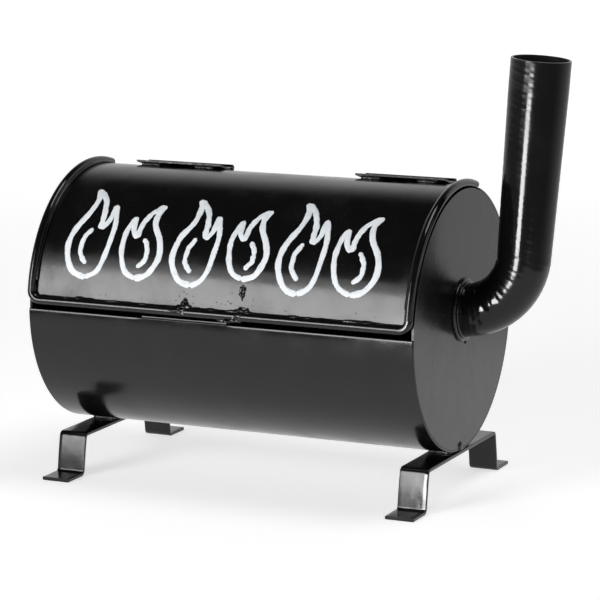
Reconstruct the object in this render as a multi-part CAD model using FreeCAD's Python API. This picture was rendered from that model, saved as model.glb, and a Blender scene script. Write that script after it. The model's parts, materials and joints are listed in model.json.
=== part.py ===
"""Table-top barrel smoker: a welded sheet-steel drum on two bent straps, with a hinged lid and a bent flue.

Units are millimetres.  Everything is modelled about the drum's own axis, which runs along X through
the point (0, 0, 0), and is moved to the row's frame only when it is written out: there the feet stand
on z = 0 and the origin lies under the middle of the outer box.

Angles round the drum are in degrees from the front (-Y), upwards over the top: 0 is the front, 90 the
top, 180 the back and 270 the bottom.  "left" is -X and "right" is +X, where the flue is.
"""
import FreeCAD
import Part
import math
import os

V = FreeCAD.Vector
X_AXIS = V(1, 0, 0)

# Drum
DRUM_R = 109.5
DRUM_LENGTH = 345.0
SHEET = 2.0
DRUM_END_X = DRUM_LENGTH / 2
BORE_R = DRUM_R - SHEET
RIM_HEIGHT = 1.4
SEAM_WELD = 3.0

# Stop strip on the drum's front edge, which the closed lid rests on
STOP_X = (-67.0, 10.0)
STOP_TOP = 3.2

# Lid and the rod round its edge
ROD_R = 3.5
LID_ROD_PATH_R = 111.5
LID_ROD_X = DRUM_END_X - ROD_R
LID_ROD_FRONT_Z = 9.2
LID_ROD_CORNER_R = 8.0
LID_EDGE_ANGLE = 6.75
LID_PANEL_END_X = 166.1
LID_WELD = 3.6
LUMP_X = (-28.0, 24.0)
LUMP_R = (4.6, 2.7)
LUMP_ANGLE = (7.6, 10.4)
TOE_R = 2.2
TOE_X = (4.0, 9.0)
TOE_GAP = 0.1

# Hinges
HINGE_ANGLE = 107.5
HINGE_AXIS_R = DRUM_R + 3.3
HINGE_X = (-93.0, 111.0)
HINGE_LENGTH = 80.0
END_KNUCKLE = 22.0
KNUCKLE_R = 3.0
KNUCKLE_GAP = 0.3
LEAF = 1.5
LEAF_WIDTH = 24.0
LEAF_NOTCH = KNUCKLE_R + 0.6
PIN_R = 1.75
PIN_RUNNING_GAP = 0.05
PIN_STICKS_OUT = 0.8
TACK_LENGTH = 18.0
TACK_INSET = 6.0
SAW_CUT = 2.6

# Flue
FLUE_WALL = 1.8
FLUE_BEND_OUTER_R = 22.0
FLUE_MOUTH_OUTER_R = 24.4
FLUE_BEND_R = 52.0
FLUE_LEAN = 4.3
FLUE_EXIT_Z = 8.0
FLUE_TOP_Z = 215.8
FLUE_MOUTH_LENGTH = 25.0
FLUE_WELD = 4.5

# Leg straps
STRAP_WIDTH = 25.0
STRAP = 3.0
STRAP_X = (-151.0, 161.0)
STRAP_BEND_R = 3.5
STAND_HEIGHT = 36.0
LEG_TOP_Y = 75.0
LEG_BOTTOM_Y = 80.5
FOOT_TIP_Y = 107.0
LEG_WELD_Y = (7.0, 21.0)

# Grates and the rails that carry them
GRATE_ROD_R = 2.5
GRATE_BAR_R = 1.75
GRATE_CORNER_R = 12.0
RAIL = 2.0
RAIL_HALF_LENGTH = 150.0
COOKING = {"z": -20.0, "half_x": 158.0, "half_y": 96.0, "bars": 23, "rail_in_y": 89.0}
CHARCOAL = {"z": -72.0, "half_x": 148.0, "half_y": 70.0, "bars": 25, "rail_in_y": 62.0}


def around(radius, angle, x=0.0):
    """Point at a radius from the drum's axis and an angle from the front."""
    turn = math.radians(angle)
    return V(x, -radius * math.cos(turn), radius * math.sin(turn))


def box(x0, x1, y0, y1, z0, z1):
    """Box between two opposite corners."""
    return Part.makeBox(x1 - x0, y1 - y0, z1 - z0, V(x0, y0, z0))


def rod(start, end, radius):
    """Round bar between two points."""
    run = end - start
    return Part.makeCylinder(radius, run.Length, start, run)


def disc(radius, centre, normal):
    """Flat round face, to be swept into a bar or a bend."""
    return Part.Face(Part.Wire(Part.makeCircle(radius, centre, normal)))


def polygon(points):
    """Flat face with straight edges."""
    return Part.Face(Part.makePolygon(points + points[:1]))


def filled_drum(radius):
    """The drum as a filled cylinder of some radius, for trimming other pieces to its curve."""
    return Part.makeCylinder(radius, DRUM_LENGTH, V(-DRUM_END_X, 0, 0), X_AXIS)


def largest(shape):
    """The biggest solid of a cut's result."""
    return max(shape.Solids, key=lambda solid: solid.Volume)


def mirrored(shape):
    """Copy of a shape on the drum's other end."""
    return shape.mirror(V(0, 0, 0), X_AXIS)


def drum_sector(x0, x1, r_in, r_out, from_angle, to_angle):
    """Curved sheet between two angles, two radii and two places along the drum."""
    middle = (from_angle + to_angle) / 2
    outer = Part.Arc(around(r_out, from_angle, x0), around(r_out, middle, x0), around(r_out, to_angle, x0))
    inner = Part.Arc(around(r_in, to_angle, x0), around(r_in, middle, x0), around(r_in, from_angle, x0))
    edges = [
        outer.toShape(),
        Part.makeLine(around(r_out, to_angle, x0), around(r_in, to_angle, x0)),
        inner.toShape(),
        Part.makeLine(around(r_in, from_angle, x0), around(r_out, from_angle, x0)),
    ]
    return Part.Face(Part.Wire(edges)).extrude(V(x1 - x0, 0, 0))


def rounded_wire(points, radii):
    """Closed outline of straight runs joined by tangent arcs: a radius per point, 0 for a sharp corner."""
    count = len(points)
    starts, ends, middles = [], [], []
    for i, (corner, radius) in enumerate(zip(points, radii)):
        before = (points[i - 1] - corner).normalize()
        after = (points[(i + 1) % count] - corner).normalize()
        half = before.getAngle(after) / 2
        if radius == 0:
            starts.append(corner)
            ends.append(corner)
            middles.append(None)
            continue
        reach = radius / math.tan(half)
        bisector = (before + after).normalize()
        starts.append(corner + before * reach)
        ends.append(corner + after * reach)
        middles.append(corner + bisector * (radius / math.sin(half) - radius))
    edges = []
    for i in range(count):
        if middles[i] is not None:
            edges.append(Part.Arc(starts[i], middles[i], ends[i]).toShape())
        edges.append(Part.makeLine(ends[i], starts[(i + 1) % count]))
    return Part.Wire(edges)


def offset_line(points, distance):
    """Points of a line in the YZ plane moved sideways by a distance, with mitred corners."""
    moved = []
    for i, point in enumerate(points):
        sides = []
        for a, b in ((i - 1, i), (i, i + 1)):
            if a >= 0 and b < len(points):
                run = (points[b] - points[a]).normalize()
                sides.append(V(0, -run.z, run.y))
        mitre = sides[0] if len(sides) == 1 else (sides[0] + sides[1]).normalize()
        moved.append(point + mitre * (distance / mitre.dot(sides[0])))
    return moved


# Drum -------------------------------------------------------------------------------------------

def rear_cut_angles():
    """Angles of the lid's rear edge and of the drum's edge behind it, either side of the saw cut."""
    half = math.degrees(SAW_CUT / 2 / DRUM_R)
    return HINGE_ANGLE - half, HINGE_ANGLE + half


def rim_angle(height):
    """Angle at which the drum's outside face is at a height over its axis, at the front."""
    return math.degrees(math.asin(height / DRUM_R))


def drum_shell():
    """The drum's trough, from the rear cut down under and up to the front rim."""
    front = 360 + rim_angle(RIM_HEIGHT)
    return drum_sector(-DRUM_END_X, DRUM_END_X, BORE_R, DRUM_R, rear_cut_angles()[1], front)


def end_disc():
    """The flat disc that closes the drum's right end."""
    return Part.makeCylinder(BORE_R, SHEET, V(DRUM_END_X - SHEET, 0, 0), X_AXIS)


def right_end_disc():
    """The right disc, with the hole that the flue stands over."""
    start = V(DRUM_END_X - 2 * SHEET, 0, FLUE_EXIT_Z)
    return end_disc().cut(Part.makeCylinder(FLUE_BEND_OUTER_R - FLUE_WALL, 4 * SHEET, start, X_AXIS))


def seam_weld():
    """Fillet weld inside the right end, between disc and trough."""
    x = DRUM_END_X - SHEET
    from_angle = rear_cut_angles()[1] + 1
    corners = [around(BORE_R, from_angle, x), around(BORE_R, from_angle, x - SEAM_WELD)]
    corners.append(around(BORE_R - SEAM_WELD, from_angle, x))
    return polygon(corners).revolve(V(0, 0, 0), V(-1, 0, 0), 359 - from_angle)


def front_stop_strip():
    """Narrow strip on the drum's front rim: the closed lid's front rod rests on it."""
    return drum_sector(*STOP_X, BORE_R, DRUM_R, rim_angle(RIM_HEIGHT), rim_angle(STOP_TOP))


# Lid --------------------------------------------------------------------------------------------

def lid_panel():
    """The lid's curved sheet."""
    end_x = LID_PANEL_END_X
    return drum_sector(-end_x, end_x, BORE_R, DRUM_R, LID_EDGE_ANGLE, rear_cut_angles()[0])


def lid_rod_corner_angle():
    """Angle where the rod leaves the drum's curve for its corner, so its front run is at its height."""
    span = math.hypot(LID_ROD_PATH_R, LID_ROD_CORNER_R)
    lead = math.atan2(LID_ROD_CORNER_R, LID_ROD_PATH_R)
    return math.degrees(lead + math.asin(LID_ROD_FRONT_Z / span))


def lid_rod_front_y():
    """Y of the rod's straight front run."""
    turn = math.radians(lid_rod_corner_angle())
    return -LID_ROD_PATH_R * math.cos(turn) - LID_ROD_CORNER_R * math.sin(turn)


def lid_frame_rod():
    """One round rod along the lid's left, front and right edges, bent at the two front corners."""
    corner = lid_rod_corner_angle()
    top = rear_cut_angles()[0]
    turn = math.radians(corner)
    down = V(0, -math.sin(turn), -math.cos(turn))
    reach = LID_ROD_CORNER_R
    solids = []
    for side in (-1, 1):
        x = side * LID_ROD_X
        end = disc(ROD_R, around(LID_ROD_PATH_R, top, x), tangent(top))
        solids.append(end.revolve(V(0, 0, 0), X_AXIS, top - corner))
        start = around(LID_ROD_PATH_R, corner, x)
        centre = start - V(side * reach, 0, 0)
        solids.append(disc(ROD_R, start, down).revolve(centre, V(side, 0, 0).cross(down), 90))
    front_y = lid_rod_front_y()
    front_x = LID_ROD_X - reach
    solids.append(rod(V(-front_x, front_y, LID_ROD_FRONT_Z), V(front_x, front_y, LID_ROD_FRONT_Z), ROD_R))
    return solids[0].multiFuse(solids[1:]).removeSplitter()


def tangent(angle):
    """Unit vector along the drum's curve, towards larger angles."""
    turn = math.radians(angle)
    return V(0, math.sin(turn), math.cos(turn))


def lid_frame_weld(frame):
    """Weld between the lid's sheet and its rod: both curved sides and the front."""
    top = rear_cut_angles()[0]
    clear_of_corner = 12.0
    into_rod = LID_PANEL_END_X + 0.6
    corners = [around(DRUM_R, top, LID_PANEL_END_X - LID_WELD), around(DRUM_R, top, into_rod)]
    corners.append(around(DRUM_R + LID_WELD, top, into_rod))
    side = polygon(corners).revolve(V(0, 0, 0), X_AXIS, top - clear_of_corner)
    front_x = LID_ROD_X - LID_ROD_CORNER_R
    middle = V(-front_x, lid_rod_front_y(), LID_ROD_FRONT_Z)
    corners = [middle, middle + V(0, -0.6, ROD_R), middle + V(0, 2.4, ROD_R + LID_WELD)]
    corners.append(middle + V(0, 4.0, 0))
    front = polygon(corners).extrude(V(2 * front_x, 0, 0))
    trims = [frame, filled_drum(DRUM_R)]
    return Part.makeCompound([largest(piece.cut(trims)) for piece in (side, mirrored(side), front)])


def lid_front_weld_lumps(frame, frame_weld):
    """Two lumps of weld on the lid's front edge, each with a smaller one over it, and a toe that hangs
    from the rod and meets the stop strip."""
    trims = [frame, frame_weld, filled_drum(DRUM_R)]
    lumps = []
    for x in LUMP_X:
        balls = []
        for radius, angle in zip(LUMP_R, LUMP_ANGLE):
            balls.append(Part.makeSphere(radius, around(DRUM_R, angle, x), around(1, angle)))
        lumps.append(largest(balls[0].fuse(balls[1]).cut(trims)))
    start, end = [V(x, -DRUM_R, STOP_TOP + TOE_GAP + TOE_R) for x in TOE_X]
    toe = rod(start, end, TOE_R)
    for at in (start, end):
        toe = toe.fuse(Part.makeSphere(TOE_R, at, X_AXIS))
    lumps.append(largest(toe.removeSplitter().cut(frame)))
    return Part.makeCompound(lumps)


# Hinges -----------------------------------------------------------------------------------------

def at_hinge(shape):
    """Move a piece modelled about the pin (Y along the drum's curve, Z outwards) to the hinge line."""
    placed = shape.copy()
    placed.rotate(V(0, 0, 0), X_AXIS, 90 - HINGE_ANGLE)
    placed.translate(around(HINGE_AXIS_R, HINGE_ANGLE))
    return placed


def hinge_leaf(middle_x, on_drum):
    """One leaf with its rolled knuckles: the drum's leaf has the two ends and the lid's the long middle."""
    start, end = middle_x - HINGE_LENGTH / 2, middle_x + HINGE_LENGTH / 2
    leaf = box(start, end, LEAF_NOTCH, LEAF_WIDTH, -KNUCKLE_R, -KNUCKLE_R + LEAF)
    first, last = start + END_KNUCKLE, end - END_KNUCKLE
    ends = [(start, first - KNUCKLE_GAP / 2), (last + KNUCKLE_GAP / 2, end)]
    middle = [(first + KNUCKLE_GAP / 2, last - KNUCKLE_GAP / 2)]
    for x0, x1 in ends if on_drum else middle:
        roll = Part.makeCylinder(KNUCKLE_R, x1 - x0, V(x0, 0, 0), X_AXIS)
        leaf = leaf.fuse(roll).fuse(box(x0, x1, 0, LEAF_NOTCH, -KNUCKLE_R, -KNUCKLE_R + LEAF))
    hole_r = PIN_R if on_drum else PIN_R + PIN_RUNNING_GAP
    hole = Part.makeCylinder(hole_r, HINGE_LENGTH + 2, V(start - 1, 0, 0), X_AXIS)
    leaf = leaf.cut(hole).removeSplitter()
    if not on_drum:
        leaf = leaf.mirror(V(0, 0, 0), V(0, 1, 0))
    return at_hinge(leaf)


def hinge_pin(middle_x):
    """The pin, held in the drum leaf's knuckles and running in the lid leaf's."""
    half = HINGE_LENGTH / 2 + PIN_STICKS_OUT
    return at_hinge(rod(V(middle_x - half, 0, 0), V(middle_x + half, 0, 0), PIN_R))


def hinge_welds(on_drum):
    """Tack welds between the free edges of both hinges' leaves and the sheet under them."""
    side = 1 if on_drum else -1
    edge = side * LEAF_WIDTH
    below, under, over, toe = -8.0, -2.6, -2.2, -5.0
    tacks = []
    for middle_x in HINGE_X:
        trims = [filled_drum(DRUM_R), hinge_leaf(middle_x, on_drum)]
        for end in (-1, 1):
            outer_x = middle_x + end * (HINGE_LENGTH / 2 - TACK_INSET)
            x0, x1 = sorted((outer_x, outer_x - end * TACK_LENGTH))
            corners = [V(x0, edge - side * 2.5, below), V(x0, edge - side * 2.5, under)]
            corners += [V(x0, edge + side * 0.6, over), V(x0, edge + side * 3.5, toe)]
            corners.append(V(x0, edge + side * 3.5, below))
            bead = at_hinge(polygon(corners).extrude(V(x1 - x0, 0, 0)))
            tacks.append(largest(bead.cut(trims)))
    return Part.makeCompound(tacks)


# Flue -------------------------------------------------------------------------------------------

def flue_line():
    """Centre of the flue's bend, end of the bend, and the riser's direction."""
    centre = V(DRUM_END_X, 0, FLUE_EXIT_Z + FLUE_BEND_R)
    lean = math.radians(FLUE_LEAN)
    end = centre + V(FLUE_BEND_R * math.cos(lean), 0, -FLUE_BEND_R * math.sin(lean))
    return centre, end, V(math.sin(lean), 0, math.cos(lean))


def filled_bend(radius):
    """The flue's bend as a filled shape: its outside or its bore."""
    start = disc(radius, V(DRUM_END_X, 0, FLUE_EXIT_Z), X_AXIS)
    return start.revolve(flue_line()[0], V(0, -1, 0), 90 - FLUE_LEAN)


def filled_riser(bend_r, mouth_r):
    """The flue's riser as a filled shape: a slight cone, then the straight mouth."""
    _, end, up = flue_line()
    taper = (FLUE_TOP_Z - end.z) / up.z - FLUE_MOUTH_LENGTH
    cone = Part.makeCone(bend_r, mouth_r, taper, end, up)
    return cone.fuse(Part.makeCylinder(mouth_r, FLUE_MOUTH_LENGTH, end + up * taper, up)).removeSplitter()


def flue_bend():
    """The tube's bend, from the end disc to where the riser starts."""
    return filled_bend(FLUE_BEND_OUTER_R).cut(filled_bend(FLUE_BEND_OUTER_R - FLUE_WALL))


def flue_riser():
    """The tube above its bend: it leans out a little and widens slightly towards its mouth."""
    bore = filled_riser(FLUE_BEND_OUTER_R - FLUE_WALL, FLUE_MOUTH_OUTER_R - FLUE_WALL)
    return filled_riser(FLUE_BEND_OUTER_R, FLUE_MOUTH_OUTER_R).cut(bore)


def flue_weld_bead():
    """Fillet weld round the flue where it meets the disc."""
    start = V(DRUM_END_X, 0, FLUE_EXIT_Z)
    cone = Part.makeCone(FLUE_BEND_OUTER_R + FLUE_WELD, FLUE_BEND_OUTER_R + 0.4, FLUE_WELD, start, X_AXIS)
    return largest(cone.cut(filled_bend(FLUE_BEND_OUTER_R)))


# Legs -------------------------------------------------------------------------------------------

def leg_strap(middle_x):
    """Flat bar bent to a hat: a crossbar under the drum, two splayed legs and two feet turned out."""
    x = middle_x - STRAP_WIDTH / 2
    top = -DRUM_R - STRAP / 2
    floor = -DRUM_R - STAND_HEIGHT + STRAP / 2
    half = [V(x, FOOT_TIP_Y, floor), V(x, LEG_BOTTOM_Y, floor), V(x, LEG_TOP_Y, top)]
    path = half + [V(x, -p.y, p.z) for p in reversed(half)]
    bends = [0, 1, -1, -1, 1, 0]
    outline = offset_line(path, STRAP / 2) + list(reversed(offset_line(path, -STRAP / 2)))
    radii = [STRAP_BEND_R - b * STRAP / 2 if b else 0 for b in bends]
    radii += [STRAP_BEND_R + b * STRAP / 2 if b else 0 for b in reversed(bends)]
    return Part.Face(rounded_wire(outline, radii)).extrude(V(STRAP_WIDTH, 0, 0))


def leg_welds(middle_x):
    """The weld that fills the wedge between drum and crossbar, in front and behind."""
    x0 = middle_x - STRAP_WIDTH / 2 + 1
    x1 = min(middle_x + STRAP_WIDTH / 2, DRUM_END_X) - 1
    near, far = LEG_WELD_Y
    front = largest(box(x0, x1, -far, -near, -DRUM_R, -DRUM_R + STRAP).cut(filled_drum(DRUM_R)))
    return Part.makeCompound([front, front.mirror(V(0, 0, 0), V(0, 1, 0))])


# Grates -----------------------------------------------------------------------------------------

def grate_frame(grate):
    """Round rod bent to a closed rectangle with rounded corners."""
    hx, hy, z = grate["half_x"], grate["half_y"], grate["z"]
    r = GRATE_CORNER_R
    solids = []
    for sx in (-1, 1):
        solids.append(rod(V(sx * hx, -hy + r, z), V(sx * hx, hy - r, z), GRATE_ROD_R))
        solids.append(rod(V(-hx + r, sx * hy, z), V(hx - r, sx * hy, z), GRATE_ROD_R))
        for sy in (-1, 1):
            end = V(sx * hx, sy * (hy - r), z)
            centre = V(sx * (hx - r), sy * (hy - r), z)
            solids.append(disc(GRATE_ROD_R, end, V(0, 1, 0)).revolve(centre, V(0, 0, sx * sy), 90))
    return solids[0].multiFuse(solids[1:]).removeSplitter()


def grate_bars(grate):
    """Straight bars that lie across the frame's long sides."""
    hx, hy = grate["half_x"], grate["half_y"]
    z = grate["z"] + GRATE_ROD_R + GRATE_BAR_R
    pitch = 2 * hx / (grate["bars"] + 1)
    places = [-hx + pitch * (i + 1) for i in range(grate["bars"])]
    return Part.makeCompound([rod(V(x, -hy - 1, z), V(x, hy + 1, z), GRATE_BAR_R) for x in places])


def rail(grate, side):
    """Flat strip welded inside the trough, under one long side of a grate."""
    top = grate["z"] - GRATE_ROD_R
    y0, y1 = sorted((side * grate["rail_in_y"], side * DRUM_R))
    strip = box(-RAIL_HALF_LENGTH, RAIL_HALF_LENGTH, y0, y1, top - RAIL, top)
    return strip.common(filled_drum(BORE_R))


# Row frame and files ----------------------------------------------------------------------------

def all_nodes():
    """Every piece by its node's name, about the drum's axis."""
    frame = lid_frame_rod()
    frame_weld = lid_frame_weld(frame)
    nodes = {
        "drum_shell": drum_shell(),
        "left_end_disc": mirrored(end_disc()),
        "right_end_disc": right_end_disc(),
        "left_seam_weld": mirrored(seam_weld()),
        "right_seam_weld": seam_weld(),
        "front_stop_strip": front_stop_strip(),
        "flue_bend": flue_bend(),
        "flue_riser": flue_riser(),
        "flue_weld_bead": flue_weld_bead(),
        "lid_panel": lid_panel(),
        "lid_frame_rod": frame,
        "lid_frame_weld": frame_weld,
        "lid_front_weld_lumps": lid_front_weld_lumps(frame, frame_weld),
        "hinge_drum_welds": hinge_welds(True),
        "hinge_lid_welds": hinge_welds(False),
        "cooking_grate_frame": grate_frame(COOKING),
        "cooking_grate_bars": grate_bars(COOKING),
        "charcoal_grate_frame": grate_frame(CHARCOAL),
        "charcoal_grate_bars": grate_bars(CHARCOAL),
    }
    for name, hinge_x, strap_x in zip(("left", "right"), HINGE_X, STRAP_X):
        nodes[name + "_hinge_drum_leaf"] = hinge_leaf(hinge_x, True)
        nodes[name + "_hinge_lid_leaf"] = hinge_leaf(hinge_x, False)
        nodes[name + "_hinge_pin"] = hinge_pin(hinge_x)
        nodes[name + "_leg_strap"] = leg_strap(strap_x)
        nodes[name + "_leg_welds"] = leg_welds(strap_x)
    for name, grate in (("cooking", COOKING), ("charcoal", CHARCOAL)):
        nodes["front_" + name + "_rail"] = rail(grate, -1)
        nodes["rear_" + name + "_rail"] = rail(grate, 1)
    return nodes


def row_offset(nodes):
    """Move that puts the feet on z = 0 and the middle of the outer box over the origin."""
    bounds = FreeCAD.BoundBox()
    for name in ("drum_shell", "lid_frame_rod", "flue_riser", "left_leg_strap"):
        bounds.add(nodes[name].optimalBoundingBox(False))
    return V(-bounds.Center.x, -bounds.Center.y, DRUM_R + STAND_HEIGHT)


def main():
    """Build every node, check it and write it out."""
    os.makedirs("parts", exist_ok=True)
    nodes = all_nodes()
    offset = row_offset(nodes)
    print("drum axis in the row frame:", [round(v, 3) for v in offset])
    for name, shape in nodes.items():
        if not shape.isValid() or not shape.Solids:
            print("BAD SHAPE:", name)
        shape.translate(offset)
        shape.exportStep("parts/" + name + ".step")
        print(f"{name:24s} {len(shape.Solids):3d} solids {shape.Volume / 1000:9.2f} cm3")


main()
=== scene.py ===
"""Finish of a table-top barrel smoker: enamelled sheet steel, rough welds, a bent flue and lift-out grates.

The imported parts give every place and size. Curved sheets, the flue, the straps and the welds are made
again here as finer surfaces, and every other part keeps its mesh and gets its finish. Lengths are metres,
angles round the drum are degrees from the front (-Y) upwards, and x runs along the drum to the flue.
"""

import json
import logging
import math
from dataclasses import dataclass, field
from enum import Enum
from typing import Any, Iterable, Sequence

import bpy
import numpy as np
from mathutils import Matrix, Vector

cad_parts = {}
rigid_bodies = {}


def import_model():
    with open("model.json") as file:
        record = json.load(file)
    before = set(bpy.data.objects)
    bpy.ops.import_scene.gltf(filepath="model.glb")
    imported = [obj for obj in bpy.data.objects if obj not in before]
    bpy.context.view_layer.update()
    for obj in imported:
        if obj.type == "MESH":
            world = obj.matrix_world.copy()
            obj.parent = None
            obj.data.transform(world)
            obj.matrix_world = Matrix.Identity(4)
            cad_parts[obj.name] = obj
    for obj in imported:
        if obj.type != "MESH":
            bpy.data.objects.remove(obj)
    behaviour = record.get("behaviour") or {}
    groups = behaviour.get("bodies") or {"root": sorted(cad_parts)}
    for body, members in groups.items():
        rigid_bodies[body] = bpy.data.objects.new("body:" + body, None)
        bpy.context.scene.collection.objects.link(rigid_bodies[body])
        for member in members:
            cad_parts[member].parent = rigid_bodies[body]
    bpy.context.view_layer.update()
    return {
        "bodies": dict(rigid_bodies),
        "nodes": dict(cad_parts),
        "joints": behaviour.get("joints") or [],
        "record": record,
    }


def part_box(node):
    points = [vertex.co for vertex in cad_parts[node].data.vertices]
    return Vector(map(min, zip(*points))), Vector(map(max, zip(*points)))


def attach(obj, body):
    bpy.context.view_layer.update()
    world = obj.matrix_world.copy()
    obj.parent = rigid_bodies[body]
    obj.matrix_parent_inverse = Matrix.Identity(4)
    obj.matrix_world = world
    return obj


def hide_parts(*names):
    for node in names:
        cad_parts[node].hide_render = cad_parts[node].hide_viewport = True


MM = 0.001
LOG = logging.getLogger("smoker")
Grid = np.ndarray

# A worn sheet edge: how far it falls as a share of the eased length, and where its rows are, from the start
EASED_FALL = 0.16
EASED_ROWS = (1.0, 0.76, 0.56, 0.37, 0.0)

# The brush strokes of one painted flame: sideways in shares of its width, upwards in shares of its height
FLAME = (
    ((0.06, 0.00), (-0.24, 0.06), (-0.42, 0.26), (-0.36, 0.48), (-0.17, 0.68), (-0.13, 0.86), (-0.22, 1.00)),
    ((-0.20, 0.99), (0.02, 0.86), (0.14, 0.68), (0.16, 0.50)),
    ((0.17, 0.50), (0.30, 0.60), (0.33, 0.77), (0.45, 0.56), (0.44, 0.30), (0.30, 0.08), (0.04, 0.00)),
    ((0.03, 0.13), (-0.13, 0.24), (-0.12, 0.38), (0.00, 0.50)),
)


# Shader graphs --------------------------------------------------------------------------------------

class Signal:
    """A value that leaves a shader node; arithmetic on it adds Math nodes."""

    def __init__(self, graph: "Graph", socket: bpy.types.NodeSocket) -> None:
        """Wrap one output socket.

        Args:
            graph: The graph that the socket's node is in.
            socket: The output that carries the value.
        """
        self.graph = graph
        self.socket = socket

    def _math(self, operation: str, first: Any, second: Any) -> "Signal":
        """Add a Math node of one operation on two values."""
        node = self.graph.add("ShaderNodeMath", {"operation": operation}, {0: first, 1: second})
        return Signal(self.graph, node.outputs[0])

    def __add__(self, other: Any) -> "Signal":
        """Sum of two values."""
        return self._math("ADD", self, other)

    def __radd__(self, other: Any) -> "Signal":
        """Sum with a number on the left."""
        return self._math("ADD", other, self)

    def __sub__(self, other: Any) -> "Signal":
        """Difference of two values."""
        return self._math("SUBTRACT", self, other)

    def __rsub__(self, other: Any) -> "Signal":
        """Difference from a number on the left."""
        return self._math("SUBTRACT", other, self)

    def __mul__(self, other: Any) -> "Signal":
        """Product of two values."""
        return self._math("MULTIPLY", self, other)

    def __rmul__(self, other: Any) -> "Signal":
        """Product with a number on the left."""
        return self._math("MULTIPLY", other, self)

    def clipped(self, low: float, high: float) -> "Signal":
        """The value brought from between two bounds to between 0 and 1, eased at both ends."""
        settings = {"interpolation_type": "SMOOTHSTEP"}
        node = self.graph.add("ShaderNodeMapRange", settings, {0: self, 1: low, 2: high})
        return Signal(self.graph, node.outputs[0])


class Graph:
    """A node tree of a material or of the world, written from the output backwards."""

    def __init__(self, tree: bpy.types.NodeTree) -> None:
        """Start from an empty tree.

        Args:
            tree: The tree to clear and to fill.
        """
        self.tree = tree
        tree.nodes.clear()

    def add(self, kind: str, settings: dict[str, Any] | None = None,
            sockets: dict[int | str, Any] | None = None) -> bpy.types.Node:
        """Add one node.

        Args:
            kind: The node's type.
            settings: Its properties, set before the sockets.
            sockets: Values or signals by the input's number or name.

        Returns:
            The new node.
        """
        node = self.tree.nodes.new(kind)
        for name, value in (settings or {}).items():
            setattr(node, name, value)
        for key, value in (sockets or {}).items():
            if isinstance(value, Signal):
                self.tree.links.new(value.socket, node.inputs[key])
            else:
                node.inputs[key].default_value = value
        return node

    def signal(self, kind: str, output: int | str, settings: dict[str, Any] | None = None,
               sockets: dict[int | str, Any] | None = None) -> Signal:
        """Add one node and return one of its outputs."""
        return Signal(self, self.add(kind, settings, sockets).outputs[output])

    def place(self, stretch: Sequence[float] = (1.0, 1.0, 1.0)) -> Signal:
        """Object coordinates in metres, each axis multiplied by a stretch."""
        spot = self.signal("ShaderNodeTexCoord", "Object")
        sockets = {"Vector": spot, "Scale": stretch}
        return self.signal("ShaderNodeMapping", 0, {"vector_type": "POINT"}, sockets)

    def noise(self, size: float, detail: float = 2.0, rough: float = 0.5,
              stretch: Sequence[float] = (1.0, 1.0, 1.0)) -> Signal:
        """Cloudy value between 0 and 1 whose patches are about a size across."""
        sockets = {"Vector": self.place(stretch), "Scale": 1.0 / size, "Detail": detail, "Roughness": rough}
        return self.signal("ShaderNodeTexNoise", "Fac", {"noise_dimensions": "3D"}, sockets)

    def blend(self, share: Any, first: Any, second: Any) -> Signal:
        """Colour between two colours, by a share."""
        settings = {"data_type": "RGBA", "blend_type": "MIX"}
        return self.signal("ShaderNodeMix", 2, settings, {0: share, 6: first, 7: second})

    def bump(self, height: Signal, distance: float, under: Signal | None = None) -> Signal:
        """Normal of a surface raised by a height between 0 and 1, times a distance in metres.

        Args:
            height: The height.
            distance: What a height of 1 stands for.
            under: The normal that it starts from.

        Returns:
            The bumped normal.
        """
        sockets: dict[int | str, Any] = {"Height": height, "Distance": distance, "Strength": 1.0}
        if under is not None:
            sockets["Normal"] = under
        return self.signal("ShaderNodeBump", "Normal", None, sockets)

    def surface(self, sockets: dict[int | str, Any]) -> None:
        """Finish a material with one Principled shader."""
        shader = self.add("ShaderNodeBsdfPrincipled", None, sockets)
        out = self.add("ShaderNodeOutputMaterial")
        self.tree.links.new(shader.outputs[0], out.inputs[0])


def new_material(name: str) -> tuple[bpy.types.Material, Graph]:
    """An empty material and the graph that fills it."""
    material = bpy.data.materials.new(name)
    material.use_nodes = True
    return material, Graph(material.node_tree)


def rgba(colour: Sequence[float]) -> tuple[float, float, float, float]:
    """A colour with full opacity."""
    return (colour[0], colour[1], colour[2], 1.0)


# Finishes -------------------------------------------------------------------------------------------

class Grain(Enum):
    """How the steel under the enamel was left."""

    ROLLED = "rolled"
    DRAWN_DOWN = "drawn_down"
    WELDED = "welded"


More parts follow.
